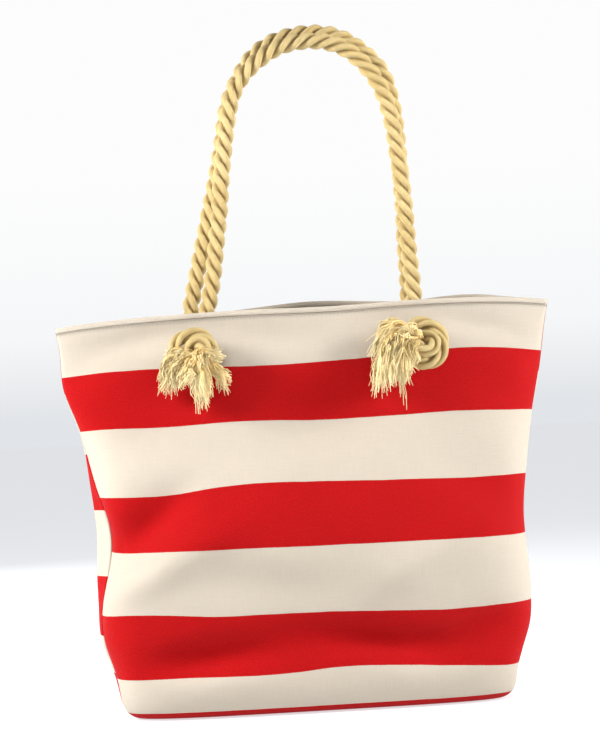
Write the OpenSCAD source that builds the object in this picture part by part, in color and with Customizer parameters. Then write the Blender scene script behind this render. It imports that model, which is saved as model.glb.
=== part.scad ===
// Striped canvas beach tote with two rope handles, in millimetres.
// Origin: middle of the base on the ground. +Z up, the front panel faces -Y.

/* [Bag] */
// Height of the rim above the base
bag_h = 345; // [300:1:420]
// Width across the mouth, between the side seams at the rim
mouth_w = 430; // [400:1:520]
// Width across the body below the mouth
body_w = 374; // [310:1:450]
// Gap between the front and back rim at the middle of the mouth
mouth_gap = 58; // [54:1:80]
// Depth, front to back, at the fullest part of the belly
belly_depth = 138; // [120:1:180]
// Depth of the base where the walls turn under
base_depth = 112; // [92:1:140]
// Height of the turn from the walls into the base
turn_h = 42; // [25:1:60]
// How far in the turn reaches under the base
turn_d = 28; // [15:1:40]
// How far the rim dips at the side seams
rim_dip = 6; // [0:1:12]

/* [Cloth] */
// Thickness of the outer canvas
canvas_t = 1.6; // [1:0.1:2.4]
// Thickness of the lining
lining_t = 0.8; // [0.5:0.1:1.2]
// Thickness of the facing strip inside the rim
facing_t = 1.2; // [0.8:0.1:2]
// Depth of the facing strip below the rolled edge
facing_h = 62; // [55:1:90]
// Height of the rolled edge along the rim
roll_h = 5; // [3:0.5:8]
// How far the rolled edge stands proud of the cloth on each side
roll_proud = 0.7; // [0.3:0.1:1.5]
// Gap between two layers of cloth
cloth_gap = 0.3; // [0.2:0.1:0.6]

/* [Ropes] */
// Diameter of the rope
rope_d = 15; // [10:0.5:18]
// Distance of an inner rope leg's centre from the bag's middle plane
leg_y = 10; // [9.5:0.1:12]
// Distance of a handle's centre from the middle plane at its top
apex_y = 9.2; // [9:0.1:12]
// Gap between a handle loop and the leg below it
loop_gap = 0.4; // [0.3:0.1:1]

/* [Eyelets] */
// Distance of each eyelet from the middle, along the rim
eyelet_x = 94; // [80:1:110]
// Depth of the eyelets below the rim
eyelet_drop = 37; // [32:1:45]
// Clearance between the rope and the eyelet's bore
rope_gap = 0.8; // [0.5:0.1:1.5]
// Wall of the eyelet's barrel
barrel_t = 0.9; // [0.6:0.1:1.5]
// Width of the eyelet's flange beyond its barrel
flange_w = 4.5; // [3:0.5:6]
// Thickness of the flange and of the washer
flange_t = 1.1; // [0.8:0.1:1.6]
// Clearance between the metal and the cloth
metal_gap = 0.2; // [0.1:0.05:0.5]

/* [Knots and tassels] */
// Radius of a knot's turns
turn_r = 13; // [11:0.5:16]
// Radius of the rope pulled tight in a knot
tight_r = 6.6; // [5.5:0.1:8]
// Length of a tassel that hangs under its knot
short_tassel = 44; // [35:1:60]
// Length of a tassel that hangs beside its knot
long_tassel = 72; // [60:1:90]
// Gap between a knot and its tassel
tassel_gap = 1; // [0.5:0.1:3]

/* [Inside] */
// Diameter of the magnetic snap
snap_d = 18; // [14:1:22]
// Thickness of each half of the snap
snap_t = 3; // [2:0.5:4]
// Depth of the snap's centre below the rim
snap_drop = 30; // [20:1:45]
// Width of the slip pocket, as a share of the panel's sweep
pocket_share = 0.32; // [0.2:0.01:0.5]

/* [Hidden] */

canvas_cream = "#efe3cf";
canvas_red = "#c8202a";
rope_colour = "#e3cf9d";
fray_colour = "#e9d9ae";
metal_colour = "#b9b4a4";
lining_colour = "#f4efe4";

// Centre line of each handle above the rim: [x, height above the rim], from left to right.
FRONT_ROUTE = [
    [-84, 0], [-78, 29], [-74, 57], [-70, 86], [-67, 114], [-63, 143], [-58, 171], [-53, 187],
    [-44, 201], [-31, 213], [-15, 223], [4, 228], [24, 228], [43, 222], [60, 208], [72, 191],
    [79, 173], [83, 155], [86, 130], [89, 104], [91, 76], [92, 48], [94, 22], [95, 0]
];
BACK_ROUTE = [
    [-98, 0], [-91, 30], [-84, 59], [-77, 88], [-70, 116], [-64, 145], [-59, 173], [-53, 189],
    [-45, 204], [-34, 219], [-17, 231], [4, 237], [24, 238], [45, 233], [65, 219], [79, 202],
    [85, 183], [88, 165], [90, 140], [91, 115], [92, 85], [92, 50], [93, 25], [93, 0]
];

// Exponents of the bag's cross-section, across and front to back, at the turn and at the rim.
ROUND_LOW = [3.4, 3];
ROUND_TOP = [2, 1.2];

// Heights of the cloth's rows, as shares of the way from the turn to the facing's lower edge.
WALL_SHARES = [0.14, 0.28, 0.42, 0.56, 0.7, 0.85];
TURN_ANGLES = [72, 54, 36, 18];
BASE_SHARES = [0, 0.5, 1];
columns = 26;
facing_rows = 3;
rope_sides = 12;
loop_steps = 2;

// Where the belly is fullest and where the mouth starts to flare, as shares of the wall's height.
belly_share = 0.32;
flare_share = 0.36;
flare_curve = 1.7;
side_pull = 2.2;

// Section of the rolled edge: height of its shoulders, and how far in its top starts.
roll_shoulder = 0.62;
roll_round = 0.28;
roll_gap = 0.15;

// How far an eyelet's hole reaches to each side of the cloth.
hole_in = 20;
hole_out = 10;

// Rope between the rim and the eyelet: room for its bend, its lean, and the gap to its knot.
bend_room = 3;
leg_lean = 0.45;
leg_stop = 0.4;

// The knot's two turns: their tips in degrees, and how they are set off from each other.
OUTER_TIP = [14, -8];
INNER_TIP = [-18, 14];
knot_stand = 3.4;
knot_slack = 3;
turn_offset = 2;
inner_less = 3;
core_more = 3.4;

// Tassels: how far their tufts spread, their radii, and their distance from the panel.
SHORT_SPREADS = [-24, 0, 24];
LONG_SPREADS = [-9, 8];
spread_lift = 0.2;
neck_r = 5;
tuft_r = 7;
tail_r = 8;
neck_stand = 16;
tuft_stand = 17;
long_top_stand = 15;
tail_stand = 18;
long_top = 14;
long_above = 24;
long_half = 11;

// The snap's boss: its reach beyond the disc, its root in it, and its play in the socket.
boss_reach = 1.5;
boss_root = 0.5;
boss_play = 1;
socket_floor = 1;

panel_top = bag_h - roll_h;
facing_z = panel_top - facing_h;
facing_in = canvas_t + cloth_gap;
flat_w = body_w / 2 - turn_d;
flat_d = base_depth / 2 - turn_d;
belly_z = turn_h + belly_share * (bag_h - turn_h);
flare_z = turn_h + flare_share * (bag_h - turn_h);
eyelet_z = bag_h - eyelet_drop;
bore_r = rope_d / 2 + rope_gap;
barrel_r = bore_r + barrel_t;
hole_r = barrel_r + metal_gap;
layers_t = facing_in + facing_t;
barrel_in = layers_t + 2 * metal_gap + flange_t;
knot_r = turn_r + tight_r;
boss_d = snap_d / 3;

function clamp01(v) = max(0, min(1, v));
function smooth(v) = let (c = clamp01(v)) c * c * (3 - 2 * c);
function mix(a, b, share) = a + (b - a) * share;
function unit(v) = v / norm(v);

// How far a height is on its way from the turn to the rim.
function climb(z) = clamp01((z - turn_h) / (bag_h - turn_h));
function flare(z) = pow(clamp01((z - flare_z) / (bag_h - flare_z)), flare_curve);
function half_width(z) = mix(body_w, mouth_w, flare(z)) / 2;
function half_depth(z) = z < belly_z
    ? mix(base_depth, belly_depth, smooth((z - turn_h) / (belly_z - turn_h))) / 2
    : mix(belly_depth, mouth_gap, smooth((z - belly_z) / (bag_h - belly_z))) / 2;
function round_x(z) = mix(ROUND_LOW.x, ROUND_TOP.x, climb(z));
function round_y(z) = mix(ROUND_LOW.y, ROUND_TOP.y, climb(z));

// One row of the shell: [half width, half depth, height, share of an inset inwards, share of it upwards].
function wall_row(z) = [half_width(z), half_depth(z), z, 1, 0];
function turn_row(angle) =
    let (n = unit([cos(angle) / turn_d, sin(angle) / turn_h]))
    [flat_w + turn_d * cos(angle), flat_d + turn_d * cos(angle), turn_h * (1 - sin(angle)), n.x, n.y];
function base_row(share) = [flat_w - (1 - share) * flat_d, share * flat_d, 0, 0, 1];

BASE_ROWS = [for (share = BASE_SHARES) base_row(share)];
TURN_ROWS = [for (angle = TURN_ANGLES) turn_row(angle)];
WALL_ROWS = [wall_row(turn_h), for (share = WALL_SHARES) wall_row(mix(turn_h, facing_z, share))];
FACING_ROWS = [for (i = [0 : facing_rows]) wall_row(mix(facing_z, panel_top, i / facing_rows))];
LOWER_ROWS = concat(BASE_ROWS, TURN_ROWS, WALL_ROWS);
POCKET_ROWS = [for (i = [2 : len(WALL_SHARES)]) WALL_ROWS[i]];

// A point of the front half of the shell: s runs from -1 at the left seam to 1 at the right seam.
function shell_point(row, s, inset) =
    let (
        z = row[2],
        pull = 1 + side_pull * pow(climb(z), 2),
        a = row[0] - inset * row[3] * pull,
        b = max(0, row[1] - inset * row[3]),
        across = sin(90 * s),
        y = b * pow(max(0, 1 - pow(abs(across), round_x(z))), 1 / round_y(z)),
        dip = rim_dip * pow(abs(across), 4) * pow(climb(z), 3)
    )
    [a * across, -y, z + inset * row[4] - dip];

// The same quad from its next corner, so that its diagonal runs the other way.
function stepped(q) = [q[1], q[2], q[3], q[0]];

// A closed sheet between two insets, over the rows given and from one share of the sweep to another.
module shell(rows, inset, thickness, s_from = -1, s_to = 1, steps = columns) {
    n = steps + 1;
    layer = len(rows) * n;
    sweep = [for (i = [0 : steps]) mix(s_from, s_to, i / steps)];
    points = concat(
        [for (row = rows) for (s = sweep) shell_point(row, s, inset)],
        [for (row = rows) for (s = sweep) shell_point(row, s, inset + thickness)]
    );
    top = (len(rows) - 1) * n;
    quads = concat(
        [for (r = [0 : len(rows) - 2]) for (c = [0 : steps - 1])
            let (i = r * n + c, q = [i, i + n, i + n + 1, i + 1]) c < steps / 2 ? q : stepped(q)],
        [for (r = [0 : len(rows) - 2]) for (c = [0 : steps - 1])
            let (i = layer + r * n + c, q = [i + n + 1, i + n, i, i + 1]) c < steps / 2 ? q : stepped(q)],
        [for (c = [0 : steps - 1]) [c, c + 1, layer + c + 1, layer + c]],
        [for (c = [0 : steps - 1]) let (i = top + c) [i, layer + i, layer + i + 1, i + 1]],
        [for (r = [0 : len(rows) - 2]) let (i = r * n) [i + n, i, layer + i, layer + i + n]],
        [for (r = [0 : len(rows) - 2]) let (i = r * n + steps) [i, i + n, layer + i + n, layer + i]]
    );
    polyhedron(points, [for (q = quads) for (f = [[q[0], q[1], q[2]], [q[0], q[2], q[3]]]) f]);
}

// A closed bar along the rim. Its section is a loop of [inset, height above the panel's top].
module rim_bar(section) {
    m = len(section);
    points = [for (i = [0 : columns]) for (p = section)
        let (row = wall_row(panel_top))
        shell_point(row, mix(-1, 1, i / columns), p.x) + [0, 0, p.y]];
    last = columns * m;
    sides = [for (c = [0 : columns - 1]) for (k = [0 : m - 1])
        let (i = c * m + k, j = c * m + (k + 1) % m) for (f = [[i, j, j + m], [i, j + m, i + m]]) f];
    ends = [for (k = [1 : m - 2]) for (f = [[0, k + 1, k], [last, last + k, last + k + 1]]) f];
    polyhedron(points, concat(sides, ends));
}

// Depth of the outer surface from the middle plane, and its outward normal on the front.
function surface_y(x, z) =
    half_depth(z) * pow(1 - pow(abs(x) / half_width(z), round_x(z)), 1 / round_y(z));
function surface_normal(x, z) =
    unit([
        (surface_y(x - 1, z) - surface_y(x + 1, z)) / 2,
        -1,
        (surface_y(x, z - 1) - surface_y(x, z + 1)) / 2
    ]);
function eyelet_point(side) = [side * eyelet_x, -surface_y(eyelet_x, eyelet_z), eyelet_z];

// Places a child at an eyelet of the front panel: x down, y to the right, z outwards.
module at_eyelet(side) {
    n = surface_normal(side * eyelet_x, eyelet_z);
    translate(eyelet_point(side)) rotate([0, acos(n.z), atan2(n.y, n.x)]) children();
}

// The back of the bag is the front turned half round; cloth is mirrored, so that its columns meet.
module turned_to_back() {
    rotate([0, 0, 180]) children();
}

module mirrored_to_back() {
    mirror([0, 1, 0]) children();
}

module eyelet_holes() {
    for (side = [-1, 1])
        at_eyelet(side) translate([0, 0, -hole_in]) cylinder(r = hole_r, h = hole_in + hole_out, $fn = 48);
}

module panel() {
    color(canvas_red)
        difference() {
            shell(concat(LOWER_ROWS, FACING_ROWS), 0, canvas_t);
            eyelet_holes();
        }
}

module lining() {
    color(lining_colour)
        shell(concat(LOWER_ROWS, [wall_row(facing_z - cloth_gap)]), facing_in, lining_t);
}

module facing() {
    color(canvas_cream)
        difference() {
            shell(FACING_ROWS, facing_in, facing_t);
            eyelet_holes();
        }
}

module rim_roll() {
    w = layers_t + 2 * roll_proud;
    color(canvas_cream)
        rim_bar([
            [-roll_proud, roll_gap],
            [-roll_proud, roll_shoulder * roll_h],
            [-roll_proud + roll_round * w, roll_h],
            [-roll_proud + (1 - roll_round) * w, roll_h],
            [-roll_proud + w, roll_shoulder * roll_h],
            [-roll_proud + w, roll_gap]
        ]);
}

// Barrel and outer flange of an eyelet.
module eyelet(side) {
    color(metal_colour)
        at_eyelet(side)
            rotate_extrude($fn = 64)
                polygon([
                    [bore_r, -barrel_in], [barrel_r, -barrel_in], [barrel_r, 2 * metal_gap],
                    [barrel_r + flange_w, 2 * metal_gap], [barrel_r + flange_w, 2 * metal_gap + 0.5 * flange_t],
                    [barrel_r + 0.7 * flange_w, 2 * metal_gap + flange_t], [bore_r, 2 * metal_gap + flange_t]
                ]);
}

// Ring that the barrel is set against, inside the bag.
module washer(side) {
    color(metal_colour)
        at_eyelet(side)
            translate([0, 0, -barrel_in])
                difference() {
                    cylinder(r = barrel_r + flange_w, h = flange_t, $fn = 64);
                    translate([0, 0, -1]) cylinder(r = barrel_r + metal_gap / 2, h = flange_t + 2, $fn = 64);
                }
}

function catmull(p0, p1, p2, p3, t) =
    0.5 * (2 * p1 + (p2 - p0) * t + (2 * p0 - 5 * p1 + 4 * p2 - p3) * t * t
        + (3 * p1 - p0 - 3 * p2 + p3) * t * t * t);

// A smooth line through a route's points, with a number of steps between each two.
function through(points, steps) =
    let (last = len(points) - 1)
    concat(
        [for (i = [0 : last - 1]) for (k = [0 : steps - 1])
            catmull(points[max(0, i - 1)], points[i], points[i + 1], points[min(last, i + 2)], k / steps)],
        [points[last]]
    );

// A round tube along a line of points. Sideways is a direction that the line never takes, and the tube's
// two ends are cut square to first_dir and last_dir.
module tube(line, r, sideways, first_dir, last_dir) {
    last = len(line) - 1;
    n = rope_sides;
    rings = [for (i = [0 : last])
        let (
            along = i == 0 ? first_dir : i == last ? last_dir : unit(line[i + 1] - line[i - 1]),
            u = unit(cross(sideways, along)),
            v = cross(along, u)
        )
        for (k = [0 : n - 1]) line[i] + r * (cos(360 * k / n) * u + sin(360 * k / n) * v)];
    sides = [for (i = [0 : last - 1]) for (k = [0 : n - 1])
        let (a = i * n + k, b = i * n + (k + 1) % n) for (f = [[a, a + n, b + n], [a, b + n, b]]) f];
    ends = [for (k = [1 : n - 2]) for (f = [[0, k, k + 1], [last * n, last * n + k + 1, last * n + k]]) f];
    polyhedron(rings, concat(sides, ends));
}

// A handle's centre line above the rim, leaning from the legs to the top.
function loop_line(route) =
    let (top = max([for (p = route) p.y]))
    [for (p = through(route, loop_steps)) [p.x, -mix(leg_y, apex_y, p.y / top), bag_h + loop_gap + p.y]];

module handle_loop(route) {
    color(rope_colour)
        tube(loop_line(route), rope_d / 2, [0, 1, 0], [0, 0, 1], [0, 0, -1]);
}

// The rope inside the bag: down from the rim, round a bend and out through the eyelet.
function leg_line(side, rim_x) =
    let (
        e = eyelet_point(side),
        n = surface_normal(e.x, e.z),
        inside = e - (barrel_in + bend_room) * n,
        corner = e + (-leg_y - e.y) / n.y * n,
        start = [mix(e.x, rim_x, leg_lean), -leg_y, corner.z + rope_d]
    )
    concat(
        [[rim_x, -leg_y, bag_h]],
        [for (t = [0 : 0.2 : 1]) pow(1 - t, 2) * start + 2 * t * (1 - t) * corner + t * t * inside],
        [e + (knot_stand - leg_stop) * n]
    );

module rope_leg(side, rim_x) {
    out = surface_normal(side * eyelet_x, eyelet_z);
    color(rope_colour)
        tube(leg_line(side, rim_x), rope_d / 2, [1, 0, 0], [0, 0, -1], out);
}

// One turn of the knot, round an axis that is tipped from the eyelet's.
module knot_turn(r, tip) {
    rotate([tip.x, tip.y, 0])
        rotate_extrude($fn = 48)
            translate([r, 0]) circle(r = tight_r, $fn = 24);
}

// Overhand knot drawn up against the eyelet. Lay turns the knot on the panel.
module knot(side, lay) {
    stand = knot_stand + tight_r + knot_slack;
    color(rope_colour)
        at_eyelet(side)
            rotate([0, 0, lay])
                union() {
                    translate([0, 0, stand]) knot_turn(turn_r, OUTER_TIP);
                    translate([0, turn_offset, stand + tight_r + turn_offset])
                        knot_turn(turn_r - inner_less, INNER_TIP);
                    translate([0, 0, stand + turn_offset]) sphere(r = tight_r + core_more, $fn = 32);
                }
}

// Frayed rope end that hangs from the foot of the knot and spreads to both sides.
module short_fray(side) {
    color(fray_colour)
        at_eyelet(side)
            hull() {
                translate([knot_r + tassel_gap + neck_r, 0, neck_stand]) sphere(r = neck_r, $fn = 24);
                for (spread = SHORT_SPREADS)
                    translate([knot_r + short_tassel - spread_lift * abs(spread), spread, tuft_stand])
                        sphere(r = tuft_r, $fn = 24);
            }
}

// Frayed rope end that falls from the top of the knot, on the side towards the bag's middle.
module long_fray(side) {
    inward = -side * (knot_r + tassel_gap + long_half);
    color(fray_colour)
        at_eyelet(side)
            hull() {
                translate([-long_top, inward, long_top_stand]) sphere(r = tuft_r, $fn = 24);
                for (spread = LONG_SPREADS)
                    translate([long_tassel - long_above, inward + spread, tail_stand])
                        sphere(r = tail_r, $fn = 24);
            }
}

module snap_half(boss) {
    inner_y = surface_y(0, bag_h - snap_drop) - layers_t - 2 * cloth_gap;
    n = surface_normal(0, bag_h - snap_drop);
    color(metal_colour)
        translate([0, -inner_y, bag_h - snap_drop])
            rotate([90 - asin(n.z), 0, 0])
                translate([0, 0, -snap_t])
                    if (boss)
                        union() {
                            cylinder(d = snap_d, h = snap_t, $fn = 48);
                            translate([0, 0, -boss_reach])
                                cylinder(d = boss_d, h = boss_reach + boss_root, $fn = 32);
                        }
                    else
                        difference() {
                            cylinder(d = snap_d, h = snap_t, $fn = 48);
                            translate([0, 0, -socket_floor])
                                cylinder(d = boss_d + boss_play, h = snap_t, $fn = 32);
                        }
}

module pocket() {
    color(lining_colour)
        shell(POCKET_ROWS, facing_in + lining_t + cloth_gap, lining_t, -pocket_share, pocket_share, 10);
}

module front_panel() { panel(); }
module back_panel() { mirrored_to_back() panel(); }
module front_lining() { lining(); }
module back_lining() { mirrored_to_back() lining(); }
module front_facing() { facing(); }
module back_facing() { mirrored_to_back() facing(); }
module front_rim_roll() { rim_roll(); }
module back_rim_roll() { mirrored_to_back() rim_roll(); }
module eyelet_front_left() { eyelet(-1); }
module eyelet_front_right() { eyelet(1); }
module eyelet_back_left() { turned_to_back() eyelet(1); }
module eyelet_back_right() { turned_to_back() eyelet(-1); }
module washer_front_left() { washer(-1); }
module washer_front_right() { washer(1); }
module washer_back_left() { turned_to_back() washer(1); }
module washer_back_right() { turned_to_back() washer(-1); }
module rope_leg_front_left() { rope_leg(-1, FRONT_ROUTE[0].x); }
module rope_leg_front_right() { rope_leg(1, FRONT_ROUTE[len(FRONT_ROUTE) - 1].x); }
module rope_leg_back_left() { mirrored_to_back() rope_leg(-1, BACK_ROUTE[0].x); }
module rope_leg_back_right() { mirrored_to_back() rope_leg(1, BACK_ROUTE[len(BACK_ROUTE) - 1].x); }
module front_handle_loop() { handle_loop(FRONT_ROUTE); }
module back_handle_loop() { mirrored_to_back() handle_loop(BACK_ROUTE); }
module knot_front_left() { knot(-1, 0); }
module knot_front_right() { knot(1, 90); }
module knot_back_left() { turned_to_back() knot(1, 90); }
module knot_back_right() { turned_to_back() knot(-1, 0); }
module tassel_front_left() { short_fray(-1); }
module tassel_front_right() { long_fray(1); }
module tassel_back_left() { turned_to_back() long_fray(1); }
module tassel_back_right() { turned_to_back() short_fray(-1); }
module snap_socket() { snap_half(false); }
module snap_stud() { mirrored_to_back() snap_half(true); }
module slip_pocket() { mirrored_to_back() pocket(); }

front_panel();
back_panel();
front_lining();
back_lining();
front_facing();
back_facing();
front_rim_roll();
back_rim_roll();
eyelet_front_left();
eyelet_front_right();
eyelet_back_left();
eyelet_back_right();
washer_front_left();
washer_front_right();
washer_back_left();
washer_back_right();
rope_leg_front_left();
rope_leg_front_right();
rope_leg_back_left();
rope_leg_back_right();
front_handle_loop();
back_handle_loop();
knot_front_left();
knot_front_right();
knot_back_left();
knot_back_right();
tassel_front_left();
tassel_front_right();
tassel_back_left();
tassel_back_right();
snap_socket();
snap_stud();
slip_pocket();
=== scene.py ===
import math

import bpy
import numpy as np
from bpy.props import FloatProperty, FloatVectorProperty, IntProperty, PointerProperty
from mathutils import Matrix, Vector


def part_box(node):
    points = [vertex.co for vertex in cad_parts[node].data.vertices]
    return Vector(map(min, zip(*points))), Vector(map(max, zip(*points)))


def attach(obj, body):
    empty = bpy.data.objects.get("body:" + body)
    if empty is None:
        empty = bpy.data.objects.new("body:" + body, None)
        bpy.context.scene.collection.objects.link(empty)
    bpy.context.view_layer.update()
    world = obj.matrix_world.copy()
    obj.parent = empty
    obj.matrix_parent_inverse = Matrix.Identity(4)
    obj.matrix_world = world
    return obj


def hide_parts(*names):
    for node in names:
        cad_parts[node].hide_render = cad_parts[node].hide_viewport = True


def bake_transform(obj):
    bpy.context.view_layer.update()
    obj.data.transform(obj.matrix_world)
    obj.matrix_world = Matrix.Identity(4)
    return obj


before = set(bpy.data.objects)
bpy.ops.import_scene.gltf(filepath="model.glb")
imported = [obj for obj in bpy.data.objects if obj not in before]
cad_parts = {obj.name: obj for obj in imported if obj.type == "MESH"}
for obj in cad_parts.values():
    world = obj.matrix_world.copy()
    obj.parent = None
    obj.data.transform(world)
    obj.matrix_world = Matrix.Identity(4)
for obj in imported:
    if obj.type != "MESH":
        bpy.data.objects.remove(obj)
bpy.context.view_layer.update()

bl_info = {
    "name": "Beach bag",
    "version": (1, 0, 0),
    "blender": (4, 5, 0),
    "location": "View3D > Sidebar > Beach bag",
    "description": "Striped canvas tote with two laid rope handles, built over its fixed model",
    "category": "Object",
}

MM = 0.001

# The bag's own sizes, as its solids have them.
BAG_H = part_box("front_rim_roll")[1].z
MOUTH_W = 430 * MM
BODY_W = 374 * MM
MOUTH_GAP = 58 * MM
BELLY_DEPTH = 138 * MM
BASE_DEPTH = 112 * MM
TURN_H = 42 * MM
TURN_D = 28 * MM
RIM_DIP = 6 * MM
CANVAS_T = 1.6 * MM
LINING_T = 0.8 * MM
FACING_T = 1.2 * MM
FACING_H = 62 * MM
ROLL_H = 5 * MM
ROLL_PROUD = 0.7 * MM
CLOTH_GAP = 0.3 * MM
SIDE_PULL = 2.2
FLARE_POWER = 1.7
ROPE_D = 15 * MM
LEG_Y = 10 * MM
APEX_Y = 9.2 * MM
LOOP_GAP = 0.4 * MM
EYELET_X = 94 * MM
EYELET_Z = BAG_H - 37 * MM
HOLE_R = 9.4 * MM
BARREL_IN = 4.6 * MM
BEND_ROOM = 3 * MM
HOLE_ROOM = 0.6 * MM
KNOT_STAND = 3.4 * MM
POCKET_SHARE = 0.32

PANEL_TOP = BAG_H - ROLL_H
FACING_Z = PANEL_TOP - FACING_H
FACING_IN = CANVAS_T + CLOTH_GAP
LAYERS_T = FACING_IN + FACING_T
POCKET_IN = FACING_IN + LINING_T + CLOTH_GAP
FLAT_W = BODY_W / 2 - TURN_D
FLAT_D = BASE_DEPTH / 2 - TURN_D
BELLY_Z = TURN_H + 0.32 * (BAG_H - TURN_H)
FLARE_Z = TURN_H + 0.36 * (BAG_H - TURN_H)
POCKET_LOW = TURN_H + 0.28 * (FACING_Z - TURN_H)
POCKET_TOP = TURN_H + 0.85 * (FACING_Z - TURN_H)

# How square the plan of the bag is, at the turn and at the rim: across and in depth.
SQUARE_X = (3.4, 2)
SQUARE_Y = (3, 1.2)

# Centre line of each handle above the rim, in millimetres: across, and above the rim, from left to right.
FRONT_ROUTE = [
    [-84, 0], [-78, 29], [-74, 57], [-70, 86], [-67, 114], [-63, 143], [-58, 171], [-53, 187],
    [-44, 201], [-31, 213], [-15, 223], [4, 228], [24, 228], [43, 222], [60, 208], [72, 191],
    [79, 173], [83, 155], [86, 130], [89, 104], [91, 76], [92, 48], [94, 22], [95, 0],
]
BACK_ROUTE = [
    [-98, 0], [-91, 30], [-84, 59], [-77, 88], [-70, 116], [-64, 145], [-59, 173], [-53, 189],
    [-45, 204], [-34, 219], [-17, 231], [4, 237], [24, 238], [45, 233], [65, 219], [79, 202],
    [85, 183], [88, 165], [90, 140], [91, 115], [92, 85], [92, 50], [93, 25], [93, 0],
]

# Soft folds of each panel, in millimetres: across, height, half length, half width, tilt in degrees, rise.
FRONT_FOLDS = [
    (-150, 322, 60, 13, 12, -3.4), (-120, 300, 70, 16, 14, 2.4), (-40, 320, 55, 14, -6, -3.0),
    (30, 300, 90, 20, 4, 2.0), (150, 318, 45, 12, -14, -2.4), (160, 285, 60, 16, -10, 2.2),
    (-150, 165, 55, 20, 38, -8.0), (-120, 135, 60, 16, 30, 4.5), (-95, 52, 55, 15, 8, -7.5),
    (40, 60, 60, 15, -8, -7.0), (125, 66, 50, 16, 16, -4.5), (0, 190, 120, 50, 0, 3.0),
    (120, 200, 70, 26, -30, -3.4), (-40, 110, 80, 20, -12, -2.6), (90, 130, 60, 18, 24, 2.8),
    (-130, 245, 60, 20, -26, -3.2), (10, 245, 70, 24, 14, -2.0),
]
BACK_FOLDS = [
    (140, 300, 60, 14, -20, -3.4), (-120, 310, 60, 14, 16, -2.8), (0, 325, 70, 16, 0, 2.2),
    (120, 160, 60, 20, -35, -5.0), (-130, 120, 60, 18, 30, -4.4), (10, 60, 90, 14, 4, -4.4),
    (-30, 200, 110, 40, 10, 2.8), (60, 110, 70, 20, -14, 2.6),
]

# How the cloth is dragged up or down in its own surface, in millimetres: across, height, reaches, rise.
FRONT_PULLS = [
    (150, 300, 60, 24, 4.0), (-50, 302, 70, 22, -3.0), (-160, 195, 50, 26, -4.0), (-40, 197, 60, 26, 2.5),
    (-160, 85, 60, 30, 4.5), (120, 90, 70, 40, -3.5), (26, 37, 50, 16, 4.5), (170, 37, 40, 16, -4.0),
]
BACK_PULLS = [(140, 290, 60, 30, -3.0), (-60, 200, 70, 30, 3.0), (60, 90, 60, 30, -2.5)]

# Where the sides are tucked in, in millimetres: height, reach up, reach in from the seam, left, right.
SIDE_TUCKS = [(152, 48, 28, 13, 4), (30, 28, 50, 12, 16)]
# Where they stand out under the rim: height, reach up, start and run across, left, right.
SIDE_FLARE = (284, 30, 90, 100, 7, 2)
# Where the back stands out past the front: height, reach up, distance from the seam, reach, left, right.
BACK_BELLY = (165, 95, 20, 15, 10, 3)
# How each rim rises and dips, in millimetres: across, reach, rise.
FRONT_HUMPS = [(20, 62, -2)]
BACK_HUMPS = [(8, 62, 6), (150, 38, 5)]
RIM_SLANT = 0.022
FOLD_DEPTH = 2.0

# Small waves all over a panel, and where the cloth is held flat: round eyelets, at seams and at the base.
FRONT_SEED = 11
BACK_SEED = 23
WAVES = 9
WAVE_PACE = 75
WAVE_RISE = 0.28 * MM
ANY_PHASE = 6.28
EYELET_FLAT = 19 * MM
SEAM_FLAT = 34 * MM
BASE_FLAT = 4 * MM
BASE_EASE = 40 * MM

# How finely the cloth and the rope are divided.
RIM_BAND = 12 * MM
RIM_ROWS = 7
WALL_ROWS = 90
TURN_ROWS = 21
BASE_ROWS = 10
FINE_COLUMNS = 1601
WEAVE_COLUMNS = 160
STRAND_POINTS = 16
RING_STEP = 2 * MM
SAME_PLACE = 0.01 * MM

# A laid rope's section, as shares of its radius: middle of a strand, radius of a strand, floor of a groove.
STRAND_OUT = 0.536
STRAND_R = 0.464
GROOVE_R = 0.46
TAPER_RINGS = 6
# A direction across every cord that no cord runs along.
ACROSS = np.array([1.0, 0.02, 0.03])

STITCH_HALF = (1.35 * MM, 0.3 * MM, 0.28 * MM)
STITCH_PITCH = 3.6 * MM
STITCH_PROUD = 0.05 * MM
FACING_HEM = 4 * MM
POCKET_HEM = 3 * MM
ROLL_CORNERS = 14
ROLL_POWER = 0.7
ROLL_LIFT = 0.15 * MM
ROLL_WRAP = 2.4 * MM


# ---------------------------------------------------------------- the form of the bag

def mix(a, b, share):
    return a + (b - a) * share


def smooth(value):
    held = np.clip(value, 0, 1)
    return held * held * (3 - 2 * held)


def climb(z):
    """How far a height is on its way from the turn to the rim."""
    return np.clip((z - TURN_H) / (BAG_H - TURN_H), 0, 1)


def half_width(z):
    return mix(BODY_W, MOUTH_W, np.clip((z - FLARE_Z) / (BAG_H - FLARE_Z), 0, 1) ** FLARE_POWER) / 2


def half_depth(z):
    low = mix(BASE_DEPTH, BELLY_DEPTH, smooth((z - TURN_H) / (BELLY_Z - TURN_H))) / 2
    high = mix(BELLY_DEPTH, MOUTH_GAP, smooth((z - BELLY_Z) / (BAG_H - BELLY_Z))) / 2
    return np.where(z < BELLY_Z, low, high)


def square_x(z):
    return mix(*SQUARE_X, climb(z))


def square_y(z):
    return mix(*SQUARE_Y, climb(z))


def surface_y(x, z):
    """Depth of the outer surface from the middle plane."""
    return half_depth(z) * (1 - (np.abs(x) / half_width(z)) ** square_x(z)) ** (1 / square_y(z))


def surface_normal(x, z):
    """Outward normal of the front panel."""
    step = MM
    slope_x = (surface_y(x - step, z) - surface_y(x + step, z)) / 2 / step
    slope_z = (surface_y(x, z - step) - surface_y(x, z + step)) / 2 / step
    return unit(np.array([slope_x, -1, slope_z]))


def unit(vectors):
    return vectors / np.linalg.norm(vectors, axis=-1, keepdims=True)


def gauss(value, width):
    return np.exp(-(value / width) ** 2)


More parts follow.
